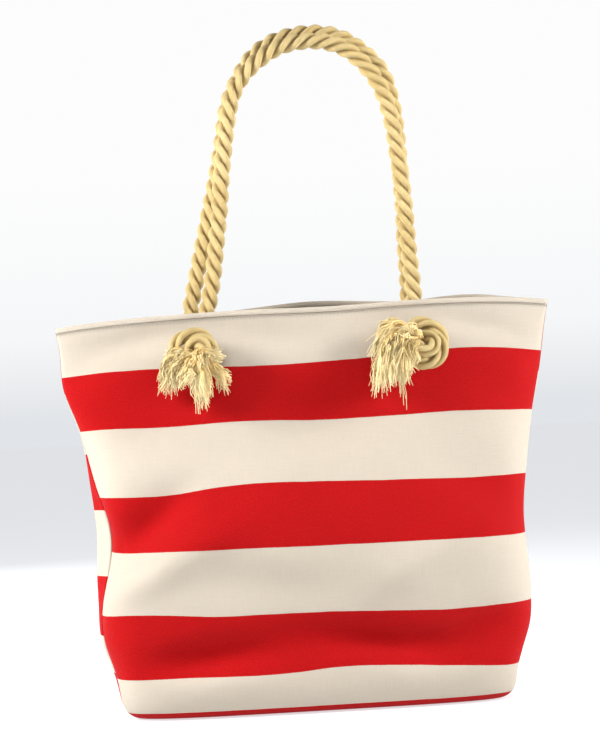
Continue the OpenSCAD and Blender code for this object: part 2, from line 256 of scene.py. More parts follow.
def to_sides(x, left, right):
    """A push away from the middle, in metres, from millimetres on the left and on the right."""
    return np.sign(x) * np.where(x < 0, left, right) * MM


def run_along(line):
    """Distance of each point of a line from its start."""
    return np.concatenate([[0], np.cumsum(np.linalg.norm(np.diff(line, axis=0), axis=1))])


def at_runs(stops, run, values):
    """What a line's points hold, at distances along it."""
    return np.stack([np.interp(stops, run, values[:, i]) for i in range(3)], 1)


def eyelet_middle(side):
    """Middle of a front eyelet, on the left with -1 and on the right with 1."""
    return np.array([side * EYELET_X, -surface_y(EYELET_X, EYELET_Z), EYELET_Z])


def cloth_rows():
    """Rows from the rim to the middle of the base: half width, half depth, height, shares of an inset."""
    near_rim = PANEL_TOP - RIM_BAND
    wall_z = np.concatenate([
        np.linspace(PANEL_TOP, near_rim, RIM_ROWS)[:-1], np.linspace(near_rim, TURN_H, WALL_ROWS),
    ])
    wall = np.stack([half_width(wall_z), half_depth(wall_z), wall_z, 1 + 0 * wall_z, 0 * wall_z], 1)
    angle = np.radians(np.linspace(0, 90, TURN_ROWS)[1:])
    lean = unit(np.stack([np.cos(angle) / TURN_D, np.sin(angle) / TURN_H], 1))
    turn = np.stack([
        FLAT_W + TURN_D * np.cos(angle), FLAT_D + TURN_D * np.cos(angle), TURN_H * (1 - np.sin(angle)),
        lean[:, 0], lean[:, 1],
    ], 1)
    share = np.linspace(1, 0, BASE_ROWS)[1:]
    base = np.stack([FLAT_W - (1 - share) * FLAT_D, share * FLAT_D, 0 * share, 0 * share, 1 + 0 * share], 1)
    return np.concatenate([wall, turn, base])


def shell(rows, sweep, inset):
    """Points of the front half of the shell: sweep runs from -1 at the left seam to 1 at the right seam."""
    width, depth, z, inwards, upwards = (rows[:, i:i + 1] for i in range(5))
    a = width - inset * inwards * (1 + (SIDE_PULL * climb(z) ** 2 if inset > 0 else 0))
    b = np.maximum(0, depth - inset * inwards)
    across = np.sin(math.pi / 2 * sweep)
    y = b * np.maximum(0, 1 - np.abs(across) ** square_x(z)) ** (1 / square_y(z))
    dip = RIM_DIP * np.abs(across) ** 4 * climb(z) ** 3
    return np.stack([a * across, -y, z + inset * upwards - dip], 2)


def even_columns(rows, count):
    """Shares of the sweep that stand evenly along the cloth, and each one's distance from the middle."""
    fine = np.linspace(-1, 1, FINE_COLUMNS)
    points = shell(rows, np.tile(fine, (len(rows), 1)), 0)
    steps = np.linalg.norm(np.diff(points, axis=1), axis=2)
    run = np.concatenate([np.zeros((len(rows), 1)), np.cumsum(steps, axis=1)], axis=1)
    middle = FINE_COLUMNS // 2
    run -= run[:, middle:middle + 1]
    even = np.linspace(-1, 1, count + 1) * run[:, -1:]
    sweep = np.stack([np.interp(even[r], run[r], fine) for r in range(len(rows))])
    sweep[:, 0], sweep[:, -1] = -1, 1
    return sweep, even


class Panel:
    """One half of the bag's cloth: its grid of points and how its folds move them.

    All its layers share both, so they can't cross.
    """

    def __init__(self, back):
        self.back = back
        self.rows = cloth_rows()
        self.sweep, self.across = even_columns(self.rows, WEAVE_COLUMNS)
        outer = shell(self.rows, self.sweep, 0)
        middle = outer[:, WEAVE_COLUMNS // 2]
        self.down = run_along(middle)
        along_rows = np.gradient(outer, axis=0)
        along_columns = np.gradient(outer, axis=1)
        normals = np.cross(along_rows, along_columns)
        normals[:, [0, -1], 1] = 0
        normals[-1] = [0, 0, -1]
        self.normals = unit(normals)
        self.shift = self.folds(outer)
        self.z = self.rows[:, 2]

    def folds(self, outer):
        """How far each point moves from the smooth form."""
        x, z = outer[..., 0], outer[..., 2]
        depth = 0 * x
        for at_x, at_z, length, width, tilt, rise in (BACK_FOLDS if self.back else FRONT_FOLDS):
            turn = math.radians(tilt)
            dx, dz = x - at_x * MM, z - at_z * MM
            along = dx * math.cos(turn) + dz * math.sin(turn)
            aside = dz * math.cos(turn) - dx * math.sin(turn)
            depth += rise * FOLD_DEPTH * MM * gauss(along, length * MM) * gauss(aside, width * MM)
        dice = np.random.default_rng(BACK_SEED if self.back else FRONT_SEED)
        for _ in range(WAVES):
            wave_x = dice.uniform(-WAVE_PACE, WAVE_PACE)
            wave_z = dice.uniform(-WAVE_PACE, WAVE_PACE)
            depth += WAVE_RISE * np.sin(wave_x * x + wave_z * z + dice.uniform(0, ANY_PHASE))
        away = [((x - side * EYELET_X) ** 2 + (z - EYELET_Z) ** 2) / EYELET_FLAT ** 2 for side in (-1, 1)]
        loose = 1 - sum(np.exp(-near ** 2) for near in away)
        from_seam = np.abs(self.across[:, -1:]) - np.abs(self.across)
        depth *= loose * smooth(from_seam / SEAM_FLAT) * smooth((z - BASE_FLAT) / BASE_EASE)
        moved = self.normals * depth[..., None]
        for at_z, reach_z, reach_in, left, right in SIDE_TUCKS:
            tuck = gauss(z - at_z * MM, reach_z * MM) * gauss(from_seam, reach_in * MM)
            moved[..., 0] -= to_sides(x, left, right) * tuck
        at_z, reach_z, start, full, left, right = SIDE_FLARE
        flare = gauss(z - at_z * MM, reach_z * MM) * smooth((np.abs(x) / MM - start) / full)
        moved[..., 0] += to_sides(x, left, right) * flare
        if self.back:
            at_z, reach_z, at_seam, reach_in, left, right = BACK_BELLY
            belly = gauss(z - at_z * MM, reach_z * MM) * gauss(from_seam - at_seam * MM, reach_in * MM)
            moved[..., 0] += to_sides(x, left, right) * belly
        humps = BACK_HUMPS if self.back else FRONT_HUMPS
        lift = sum(rise * MM * gauss(x - at_x * MM, reach * MM) for at_x, reach, rise in humps)
        moved[..., 2] += (RIM_SLANT * x + lift) * climb(z) ** 4
        for at_x, at_z, reach_x, reach_z, rise in (BACK_PULLS if self.back else FRONT_PULLS):
            pull = rise * MM * gauss(x - at_x * MM, reach_x * MM)
            moved[..., 2] += pull * gauss(z - at_z * MM, reach_z * MM)
        return moved

    def layer(self, inset):
        """The panel's grid at a depth inside its outer surface, folds included."""
        points = shell(self.rows, self.sweep, inset) + self.shift
        if self.back:
            points[..., 1] *= -1
        return points

    def outward(self):
        return self.normals * (np.array([1, -1, 1]) if self.back else 1)

    def row_at(self, z):
        """The row of the grid nearest to a height."""
        return int(np.argmin(np.abs(self.z - z)))

    def between(self, low, high, share=1.0):
        """The cells of the grid between two heights of the wall and within a share of the sweep."""
        row_in = (self.z <= high + SAME_PLACE) & (self.z >= low - SAME_PLACE)
        column_in = np.abs(self.sweep[len(self.z) // 2]) <= share + 0.001
        return (row_in[:-1] & row_in[1:])[:, None] & (column_in[:-1] & column_in[1:])[None]

    def off_eyelets(self):
        """The cells that the eyelets leave whole."""
        outer = shell(self.rows, self.sweep, 0) + self.shift
        cell = (outer[:-1, :-1] + outer[1:, :-1] + outer[1:, 1:] + outer[:-1, 1:]) / 4
        far = np.ones(cell.shape[:2], bool)
        for side in (-1, 1):
            far &= np.linalg.norm(cell - eyelet_middle(side), axis=2) > HOLE_R + HOLE_ROOM
        return far


# ---------------------------------------------------------------- meshes

def add_mesh(name, points, faces, uv=None, corner_uv=None, uv_name="cloth"):
    """A smooth mesh object at the origin, with a map of one value a point or a corner."""
    mesh = bpy.data.meshes.new(name)
    mesh.from_pydata(np.asarray(points).reshape(-1, 3).tolist(), [], faces)
    mesh.polygons.foreach_set("use_smooth", [True] * len(mesh.polygons))
    if uv is not None or corner_uv is not None:
        layer = mesh.uv_layers.new(name=uv_name)
        if corner_uv is None:
            corner = np.zeros(len(mesh.loops), np.int32)
            mesh.loops.foreach_get("vertex_index", corner)
            corner_uv = np.asarray(uv).reshape(-1, 2)[corner]
        layer.data.foreach_set("uv", np.asarray(corner_uv, np.float32).ravel())
    mesh.validate()
    piece = bpy.data.objects.new(name, mesh)
    bpy.context.scene.collection.objects.link(piece)
    return piece


def closed_sheet(name, panel, inset, thickness, keep):
    """Cloth with two faces and closed edges, over the cells of the panel's grid that are kept."""
    outer, inner = panel.layer(inset), panel.layer(inset + thickness)
    rows, columns = outer.shape[:2]
    below = rows * columns
    index = np.arange(below).reshape(rows, columns)
    quad = np.stack([index[:-1, :-1], index[1:, :-1], index[1:, 1:], index[:-1, 1:]], -1)[keep]
    kept = np.pad(keep, 1)
    level = np.stack([index[:, :-1], index[:, 1:]], -1)
    upright = np.stack([index[:-1], index[1:]], -1)
    over, under = kept[:-1, 1:-1], kept[1:, 1:-1]
    left, right = kept[1:-1, :-1], kept[1:-1, 1:]
    edges = np.concatenate([
        level[under & ~over], level[over & ~under][:, ::-1],
        upright[right & ~left][:, ::-1], upright[left & ~right],
    ])
    walls = np.stack([edges[:, 0], edges[:, 1], edges[:, 1] + below, edges[:, 0] + below], 1)
    faces = np.concatenate([quad, quad[:, ::-1] + below, walls])
    if panel.back:
        faces = faces[:, ::-1]
    used, faces = np.unique(faces, return_inverse=True)
    down = np.broadcast_to(panel.down[:, None], panel.across.shape)
    uv = np.stack([panel.across, down], -1).reshape(-1, 2)
    if panel.back:
        uv = uv * [-1, 1] + [0, bpy.context.scene.bag_cloth.back_shift]
    points = np.concatenate([outer.reshape(-1, 3), inner.reshape(-1, 3)])[used]
    uv = np.concatenate([uv, uv])[used]
    return add_mesh(name, points, faces.reshape(-1, 4).tolist(), uv)


def frames_along(line, start):
    """Two crosswise directions at each point of a line, which don't twist along it."""
    tangents = unit(np.gradient(line, axis=0))
    side = unit(start - tangents[0] * np.dot(start, tangents[0]))
    sides = []
    for tangent in tangents:
        side = unit(side - tangent * np.dot(side, tangent))
        sides.append(side)
    sides = np.array(sides)
    return sides, np.cross(tangents, sides)


def resample(line, step):
    """The same line with points a step apart."""
    run = run_along(line)
    return at_runs(np.linspace(0, run[-1], max(2, round(run[-1] / step) + 1)), run, line)


def through(points, steps):
    """A smooth line through points, with a number of steps between each two."""
    points = np.asarray(points, float)
    last = len(points) - 1
    line = []
    for i in range(last):
        p0, p1, p2, p3 = points[max(0, i - 1)], points[i], points[i + 1], points[min(last, i + 2)]
        for t in np.arange(steps) / steps:
            line.append(0.5 * (2 * p1 + (p2 - p0) * t + (2 * p0 - 5 * p1 + 4 * p2 - p3) * t * t
                               + (3 * p1 - p0 - 3 * p2 + p3) * t ** 3))
    line.append(points[last])
    return np.array(line)


def ease(line, passes):
    """The line with its kinks rounded and its ends kept."""
    line = line.copy()
    for _ in range(passes):
        line[1:-1] = (line[:-2] + 2 * line[1:-1] + line[2:]) / 4
    return line


def tube_faces(rings, sides):
    """Quads round a tube, and fans to a point at each end, which are the last two points."""
    ring = np.arange(rings - 1)[:, None] * sides
    side = np.arange(sides)[None]
    after = (side + 1) % sides
    quads = np.stack([ring + side, ring + after, ring + sides + after, ring + sides + side], -1)
    first, last = rings * sides, rings * sides + 1
    end = (rings - 1) * sides
    fans = [[(k + 1) % sides, k, first] for k in range(sides)]
    fans += [[end + k, end + (k + 1) % sides, last] for k in range(sides)]
    return quads.reshape(-1, 4).tolist() + fans


def strand_section(size):
    """Angle and radius of each point round the section of a laid rope of three strands."""
    reach, strand = STRAND_OUT * size / 2, STRAND_R * size / 2
    lobe = np.radians((np.arange(STRAND_POINTS) + 0.5) / STRAND_POINTS * 120 - 60)
    radius = reach * np.cos(lobe) + np.sqrt(np.maximum(0, strand ** 2 - (reach * np.sin(lobe)) ** 2))
    radius = np.maximum(radius, GROOVE_R * size / 2)
    angle = np.concatenate([lobe + math.radians(120 * k) for k in range(3)])
    return angle, np.tile(radius, 3)


def laid_rope(name, line, size, lay, phase=0.0, taper=1.0):
    """Three strands laid left-handed along a line, as one closed mesh."""
    sides, others = frames_along(line, ACROSS)
    angle, radius = strand_section(size)
    run = run_along(line)
    turned = phase - 2 * math.pi * run[:, None] / lay
    at = angle[None] + turned
    swell = np.ones(len(line))
    swell[-TAPER_RINGS:] = np.linspace(1, taper, TAPER_RINGS)
    reach = radius[None] * swell[:, None]
    rings = (line[:, None] + reach[..., None]
             * (np.cos(at)[..., None] * sides[:, None] + np.sin(at)[..., None] * others[:, None]))
    points = np.concatenate([rings.reshape(-1, 3), line[:1], line[-1:]])
    faces = tube_faces(len(line), len(angle))
    count = len(angle)
    around = np.append(angle, angle[0] + 2 * math.pi)
    crown = np.append(radius, radius[0]) / (size / 2)
    corner_run, corner_turn, corner_crown = [], [], []
    k, i = np.meshgrid(np.arange(len(line) - 1), np.arange(count), indexing="ij")
    for dk, di in ((0, 0), (0, 1), (1, 1), (1, 0)):
        corner_run.append(run[k + dk])
        corner_turn.append((around[i + di] + turned[k + dk, 0]) * size / 2)
        corner_crown.append(crown[i + di])
    uv = np.stack([np.stack(corner_run, -1).ravel(), np.stack(corner_turn, -1).ravel()], 1)
    high = np.stack([np.stack(corner_crown, -1).ravel(), np.stack(corner_run, -1).ravel()], 1)
    caps = 6 * count
    piece = add_mesh(name, points, faces, corner_uv=np.concatenate([uv, np.zeros((caps, 2))]), uv_name="yarn")
    crown_map = piece.data.uv_layers.new(name="crown")
    crown_map.data.foreach_set("uv", np.concatenate([high, np.zeros((caps, 2))]).astype(np.float32).ravel())
    return piece


def stitch_shape():
    """One stitch, lying along X with +Z outwards: its points and faces."""
    bpy.ops.object.select_all(action="DESELECT")
    bpy.ops.mesh.primitive_uv_sphere_add(segments=6, ring_count=4, radius=1, rotation=(0, math.pi / 2, 0))
    made = bpy.context.object
    bpy.ops.object.transform_apply(location=False, rotation=True, scale=True)
    bpy.ops.object.mode_set(mode="EDIT")
    bpy.ops.mesh.select_all(action="SELECT")
    bpy.ops.transform.resize(value=STITCH_HALF)
    bpy.ops.object.mode_set(mode="OBJECT")
    points = np.array([v.co[:] for v in made.data.vertices])
    # The primitive lists its faces in no fixed order.
    faces = sorted(list(p.vertices) for p in made.data.polygons)
    mesh = made.data
    bpy.data.objects.remove(made)
    bpy.data.meshes.remove(mesh)
    return points, faces


def stitch_row(name, lines):
    """Stitches along lines of cloth. Each line is its points and their outward directions."""
    shape, shape_faces = stitch_shape()
    points, faces = [], []
    for line, outward in lines:
        run = run_along(line)
        stops = np.arange(STITCH_PITCH, run[-1] - STITCH_PITCH / 2, STITCH_PITCH)
        centre = at_runs(stops, run, line)
        up = unit(at_runs(stops, run, outward))
        ahead = at_runs(stops + 0.5 * MM, run, line) - centre
        along = unit(ahead - up * (ahead * up).sum(1, keepdims=True))
        aside = np.cross(up, along)
        for c, x, y, z in zip(centre, along, aside, up):
            start = len(points) * len(shape)
            points.append(c + shape @ np.array([x, y, z]))
            faces += [[start + i for i in face] for face in shape_faces]
    return add_mesh(name, np.concatenate(points), faces)


# ---------------------------------------------------------------- materials

class Wire:
    """An output socket. Arithmetic on it adds Math nodes."""

    def __init__(self, nodes, socket):
        self.nodes = nodes
        self.socket = socket

    def math(self, operation, *values):
        return self.nodes.node("ShaderNodeMath", {"operation": operation}, dict(enumerate((self, *values))))

    def __add__(self, other):
        return self.math("ADD", other)

    __radd__ = __add__

    def __mul__(self, other):
        return self.math("MULTIPLY", other)

    __rmul__ = __mul__

    def __sub__(self, other):
        return self.math("SUBTRACT", other)

    def __rsub__(self, other):
        return self.nodes.node("ShaderNodeMath", {"operation": "SUBTRACT"}, {0: other, 1: self})

    def __truediv__(self, other):
        return self.math("DIVIDE", other)

    def __mod__(self, other):
        return self.math("FLOORED_MODULO", other)

    def __lt__(self, other):
        return self.math("LESS_THAN", other)

    def __gt__(self, other):
        return self.math("GREATER_THAN", other)

    def __abs__(self):
        return self.math("ABSOLUTE")


class Nodes:
    """A tree of nodes as it is wired."""

    def __init__(self, tree):
        self.tree = tree

    def node(self, kind, settings=None, inputs=None, output=0):
        """Adds a node, sets it up, joins its inputs and gives one of its outputs."""
        made = self.tree.nodes.new(kind)
        for name, value in (settings or {}).items():
            if name == "stops":
                while len(made.color_ramp.elements) < len(value):
                    made.color_ramp.elements.new(0.5)
                for element, (position, colour) in zip(made.color_ramp.elements, value):
                    element.position, element.color = position, colour
            else:
                setattr(made, name, value)
        for key, value in (inputs or {}).items():
            self.join(made.inputs[key], value)
        return Wire(self, made.outputs[output])

    def join(self, socket, value):
        if isinstance(value, Wire):
            self.tree.links.new(value.socket, socket)
        else:
            socket.default_value = value


class Finish(Nodes):
    """A material as it is wired, with the Principled shader that its nodes end in."""

    def __init__(self, name, **constants):
        self.material = bpy.data.materials.new(name)
        self.material.use_nodes = True
        super().__init__(self.material.node_tree)
        self.shader = self.tree.nodes["Principled BSDF"]
        for socket, value in constants.items():
            self.shader.inputs[socket.replace("_", " ")].default_value = value

    def surface(self, **values):
        """Joins what changes over the surface to the shader."""
        for name, value in values.items():
            self.join(self.shader.inputs[name.replace("_", " ")], value)
        return self.material

    def map(self, name):
        """The two values of one of the piece's own maps."""
        split = self.node("ShaderNodeSeparateXYZ", None, {0: self.node("ShaderNodeUVMap", {"uv_map": name})})
        return split, Wire(self, split.socket.node.outputs[1])

    def place(self, x, y, z=0.0):
        return self.node("ShaderNodeCombineXYZ", None, {0: x, 1: y, 2: z})

    def noise(self, place, scale, detail=2.0, rough=0.5):
        return self.node("ShaderNodeTexNoise", {"noise_dimensions": "3D"},
                         {"Vector": place, "Scale": scale, "Detail": detail, "Roughness": rough})

    def object_place(self):
        return self.node("ShaderNodeTexCoord", None, None, "Object")

    def blend(self, share, a, b):
        """A colour between two."""
        return self.node("ShaderNodeMix", {"data_type": "RGBA"}, {0: share, 6: a, 7: b}, 2)

    def tint(self, colour, shade):
        """A colour made lighter or darker by a value."""
        return self.node("ShaderNodeVectorMath", {"operation": "SCALE"}, {0: colour, "Scale": shade})

    def clamp(self, value, low, high):
        """0 up to a low value, 1 from a high one, and a smooth change between."""
        return self.node("ShaderNodeMapRange", {"interpolation_type": "SMOOTHSTEP"},
                         {"Value": value, "From Min": low, "From Max": high})

    def bump(self, height, distance, strength=1.0, under=None):
        inputs = {"Height": height, "Distance": distance, "Strength": strength}
        if under is not None:
            inputs["Normal"] = under
        return self.node("ShaderNodeBump", None, inputs)

    def weave(self, u, v, thread):
        """Height of a plain weave, from 0 in the holes to 1 on a thread's crown."""
        a, b = u / thread, v / thread
        over = (a.math("FLOOR") + b.math("FLOOR")) % 2.0
        warp = abs((a * math.pi).math("SINE"))
        weft = abs((b * math.pi).math("SINE"))
        across = warp * (0.55 + 0.45 * weft)
        along = weft * (0.55 + 0.45 * warp)
        return over * across + (1 - over) * along


def rgb(colour):
    return (*colour, 1.0)


FINISHES = {}

# How unevenly the dye ends: slow drift, grain and slubs, in metres. Then a line of painted shade in the
# crease under the rolled edge.
DYE_DRIFT = 0.0022
DYE_GRAIN = 0.0007
DYE_SLUB = 0.0004
SHADE_LINE_AT = 0.9 * MM
SHADE_LINE_W = 1.3 * MM
SHADE_LINE_DARK = 0.42
THREAD_RISE = 0.35 * MM


def finish_of(make):
    """The material of one of the functions below, made the first time it is asked for."""
    if make not in FINISHES:
        FINISHES[make] = make(make.__name__)
    return FINISHES[make]


def striped_canvas(name):
    """Cotton canvas with dyed stripes across the bag."""
    cloth = bpy.context.scene.bag_cloth
    f = Finish(name, Sheen_Weight=0.03, Sheen_Roughness=0.4, Specular_IOR_Level=0.12)
    u, v = f.map("cloth")
    slub_across = f.noise(f.place(u * 60.0, v * 1300.0), 1.0, 2.0)
    slub_down = f.noise(f.place(u * 1300.0, v * 60.0), 1.0, 2.0)
    grain = f.noise(f.place(u, v), 2600.0, 1.0)
    drift = f.noise(f.place(u, v * 0.2), 14.0, 2.0)
    edge = v + (drift - 0.5) * DYE_DRIFT + (grain - 0.5) * DYE_GRAIN + (slub_across - 0.5) * DYE_SLUB
    pair = cloth.stripe + cloth.gap
    phase = ((edge - cloth.top_band) / pair) % 1.0
    dyed = (phase < cloth.stripe / pair).math("MAXIMUM", edge > cloth.last_red)
    weave = f.weave(u, v, cloth.thread)
    fleck = f.noise(f.place(u * 900.0, v * 900.0), 1.0, 3.0, 0.7)
    # Painted shade: both colours are darker in the holes of the weave and lighter on the threads' crowns.
    cream = f.tint(f.blend(slub_across, rgb(cloth.cream), rgb(cloth.cream_warm)),
                   0.90 + 0.10 * weave + 0.10 * (slub_down - 0.5) + 0.06 * (drift - 0.5))
    red = f.tint(f.blend(f.clamp(fleck, 0.30, 0.75), rgb(cloth.red_deep), rgb(cloth.red)),
                 0.86 + 0.16 * weave + 0.16 * (slub_across - 0.5) + 0.14 * (drift - 0.5))
    # Painted shade: the colour is darkened along a line in the crease under the rolled edge.
    crease = 1 - SHADE_LINE_DARK * gauss_line(v, SHADE_LINE_AT, SHADE_LINE_W)
    colour = f.tint(f.blend(dyed, cream, red), crease)
    height = weave + 0.8 * slub_across + 0.5 * slub_down
    return f.surface(Base_Color=colour, Roughness=0.94 - 0.12 * weave,
                     Normal=f.bump(height, THREAD_RISE, 0.6))


def gauss_line(v, at, width):
    """1 on a line of the cloth and 0 away from it."""
    away = (v - at) / width
    return (away * away * -1.0).math("EXPONENT")


def plain_canvas(name):
    """Undyed canvas of the facings and the rolled edge."""
    cloth = bpy.context.scene.bag_cloth
    f = Finish(name, Sheen_Weight=0.2, Sheen_Roughness=0.45, Specular_IOR_Level=0.25)
    u, v = f.map("cloth")
    weave = f.weave(u + v, u - v, cloth.thread * 1.3)
    slub = f.noise(f.place(u * 90.0, v * 1100.0), 1.0, 2.0)
    drift = f.noise(f.place(u, v), 22.0, 2.0)
    # Painted shade: the colour is darker in the holes of the weave and lighter on the threads' crowns.
    colour = f.tint(f.blend(slub, rgb(cloth.cream), rgb(cloth.cream_warm)),
                    0.90 + 0.12 * weave + 0.10 * (drift - 0.5))
    return f.surface(Base_Color=colour, Roughness=0.93 - 0.1 * weave,
                     Normal=f.bump(weave + 0.8 * slub, THREAD_RISE, 0.6))


def lining_cotton(name):
    """Finer plain cotton inside the bag."""
    cloth = bpy.context.scene.bag_cloth
    f = Finish(name, Sheen_Weight=0.1, Specular_IOR_Level=0.2)
    u, v = f.map("cloth")
    weave = f.weave(u, v, cloth.thread * 0.7)
    slub = f.noise(f.place(u * 1400.0, v * 120.0), 1.0, 2.0)
    crease = f.noise(f.place(u, v * 0.6), 26.0, 3.0)
    # Painted shade: the colour is darker in the holes of the weave and lighter on the threads' crowns.
    colour = f.tint(f.blend(slub, rgb(cloth.lining), rgb(cloth.cream)), 0.9 + 0.12 * weave)
    return f.surface(Base_Color=colour, Roughness=0.92 - 0.08 * weave,
                     Normal=f.bump(crease, 5 * MM, 0.35, f.bump(weave, 0.2 * MM, 0.5)))


def rope_cotton(name):
    """Golden cotton yarns, with painted shade down between the strands and between the yarns."""
    rope = bpy.context.scene.bag_rope
    f = Finish(name, Sheen_Weight=0.06, Sheen_Roughness=0.5, Specular_IOR_Level=0.15)
    run, turn = f.map("yarn")
    crown, _ = f.map("crown")
    pitch = math.pi * ROPE_D / rope.yarns
    wander = f.noise(f.place(run * 90.0, turn * 300.0), 1.0, 2.0)
    yarn = abs(((turn / pitch + run * 40.0 + (wander - 0.5) * 0.9) * math.pi).math("SINE"))
    fluff = f.noise(f.place(run * 260.0, turn * 1500.0), 1.0, 3.0, 0.65)
    patch = f.noise(f.object_place(), 34.0, 2.0)
    high = f.clamp(crown, 0.42, 0.93)
    body = f.blend(f.clamp(patch, 0.3, 0.7), rgb(rope.cotton), rgb(rope.cotton_warm))
    # Painted shade: the groove colour darkens the rope down between the strands, and the yarn term darkens it
    # between the yarns.
    colour = f.blend(high, rgb(rope.groove), body)
    shade = 0.78 + 0.20 * yarn + 0.26 * (fluff - 0.5)
    return f.surface(Base_Color=f.tint(colour, shade), Roughness=0.9 - 0.12 * yarn,
                     Normal=f.bump(yarn + 0.9 * fluff, 0.9 * MM, 0.9))


def frayed_cotton(name):
    """Loose fibres of the rope's ends, paler towards their tips, with a faint painted glow that lifts the
    shade between them.
    """
    rope = bpy.context.scene.bag_rope
    # Painted light: a faint warm glow lifts the shade between the fibres.
    f = Finish(name, Sheen_Weight=0.06, Sheen_Roughness=0.5, Specular_IOR_Level=0.15, Emission_Strength=0.06)
    f.shader.inputs["Emission Color"].default_value = rgb(rope.cotton_warm)
    along, own = f.map("fibre")
    fluff = f.noise(f.object_place(), 900.0, 2.0)
    colour = f.blend(f.clamp(along, 0.2, 1.0), rgb(rope.cotton_warm), rgb(rope.tip))
    return f.surface(Base_Color=f.tint(colour, 0.66 + 0.50 * own + 0.16 * (fluff - 0.5)), Roughness=0.9,
                     Normal=f.bump(fluff, 0.2 * MM, 0.5))


def nickel(name):
    """Plated metal of the eyelets, with fine scratches."""
    f = Finish(name, Metallic=1.0)
    place = f.object_place()
    cloud = f.noise(place, 180.0, 3.0)
    scratch = f.noise(f.node("ShaderNodeMapping", None, {0: place, "Scale": (900, 900, 60)}), 3.0, 2.0)
    colour = f.blend(cloud, (0.63, 0.60, 0.53, 1), (0.76, 0.73, 0.66, 1))
    return f.surface(Base_Color=colour, Roughness=0.20 + 0.14 * cloud + 0.08 * scratch,
                     Normal=f.bump(scratch, 0.05 * MM, 0.4))


def dark_nickel(name):
    """Duller plated metal of the snap."""
    f = Finish(name, Metallic=1.0)
    place = f.object_place()
    cloud = f.noise(place, 240.0, 3.0)
    colour = f.blend(cloud, (0.42, 0.40, 0.37, 1), (0.58, 0.56, 0.52, 1))
    return f.surface(Base_Color=colour, Roughness=0.30 + 0.16 * cloud, Normal=f.bump(cloud, 0.05 * MM, 0.4))


def sewing_thread(name):
    """Twisted thread of the stitches."""
    cloth = bpy.context.scene.bag_cloth
    f = Finish(name, Sheen_Weight=0.2, Specular_IOR_Level=0.35)
    fine = f.noise(f.object_place(), 1500.0, 2.0)
    colour = f.tint(f.blend(fine, rgb(cloth.cream), rgb(cloth.cream_warm)), 0.8 + 0.2 * fine)
    return f.surface(Base_Color=colour, Roughness=0.7, Normal=f.bump(fine, 0.1 * MM, 0.6))


def dress(piece, make, body="bag"):
    """Gives a piece its material and, when one is named, the body that it moves with."""
    piece.data.materials.clear()
    piece.data.materials.append(finish_of(make))
    if body:
        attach(piece, body)


# ---------------------------------------------------------------- ropes, knots and tassels

def leg_line(side, rim_x):
    """The rope inside the bag: down from the rim, round a bend and out through the eyelet."""
    middle = eyelet_middle(side)
    out = surface_normal(side * EYELET_X, EYELET_Z)
    inside = middle - (BARREL_IN + BEND_ROOM) * out
    corner = middle + (-LEG_Y - middle[1]) / out[1] * out
    start = np.array([mix(middle[0], rim_x, 0.45), -LEG_Y, corner[2] + ROPE_D])
    bend = [(1 - t) ** 2 * start + 2 * t * (1 - t) * corner + t * t * inside for t in np.linspace(0, 1, 9)]
    return np.array([[rim_x, -LEG_Y, BAG_H], *bend, middle + (KNOT_STAND - 0.4 * MM) * out])


def handle_line(route, back):
    """The whole rope from one knot, up over the top and down to the other."""
    route = np.array(route, float) * MM
    top = route[:, 1].max()
    arch = through(route, 8)
    loop = np.stack([arch[:, 0], -mix(LEG_Y, APEX_Y, arch[:, 1] / top), BAG_H + LOOP_GAP + arch[:, 1]], 1)
    line = np.concatenate([leg_line(-1, route[0, 0])[::-1], loop[1:-1], leg_line(1, route[-1, 0])])
    line = ease(resample(line, MM), 24)
    if back:
        line[:, 1] *= -1
    return resample(line, RING_STEP)


# Each knot's line in millimetres: to the right, up and out of the panel, from the eyelet to the frayed end.
UPRIGHT_TURNS = [
    (0, 0, 1), (0, -2, 7), (-6, -8, 10), (-15, -8, 12), (-20, 0, 15), (-15, 10, 17), (-5, 13, 18),
    (5, 11, 18), (11, 3, 17), (11, -5, 15), (4, -9, 13), (-5, -7, 13), (-8, 0, 19), (-2, 5, 25),
    (5, 3, 27), (5, -6, 26), (0, -12, 22),
]
SIDEWAYS_TURNS = [
    (0, 0, 1), (-2, -2, 7), (-8, 4, 10), (-8, 13, 13), (3, 15, 15), (13, 9, 17), (17, -4, 18), (12, -16, 18),
    (1, -21, 17), (-8, -16, 14), (-10, -6, 13), (-4, 3, 15), (4, 2, 21), (8, -4, 25), (2, -11, 27),
    (-7, -8, 26), (-14, -2, 22),
]
KNOT_SIZE = 0.82
KNOT_STEP = 1.6 * MM

# The four rope ends: name, side of the front that its place is worked out on, on the back, knot sideways.
KNOTS = [
    ("front_left", -1, False, False),
    ("front_right", 1, False, True),
    ("back_left", 1, True, True),
    ("back_right", -1, True, False),
]


def knot_frame(side, back):
    """Right, up and outward directions at an eyelet and its middle, on the front or turned to the back."""
    out = surface_normal(side * EYELET_X, EYELET_Z)
    right = unit(np.cross(out, [0, 0, 1.0])) * -1
    up = np.cross(out, right)
    axes = np.array([right, up, out])
    middle = eyelet_middle(side)
    if back:
        half_turn = np.array([-1, -1, 1])
        axes, middle = axes * half_turn, middle * half_turn
    return axes, middle


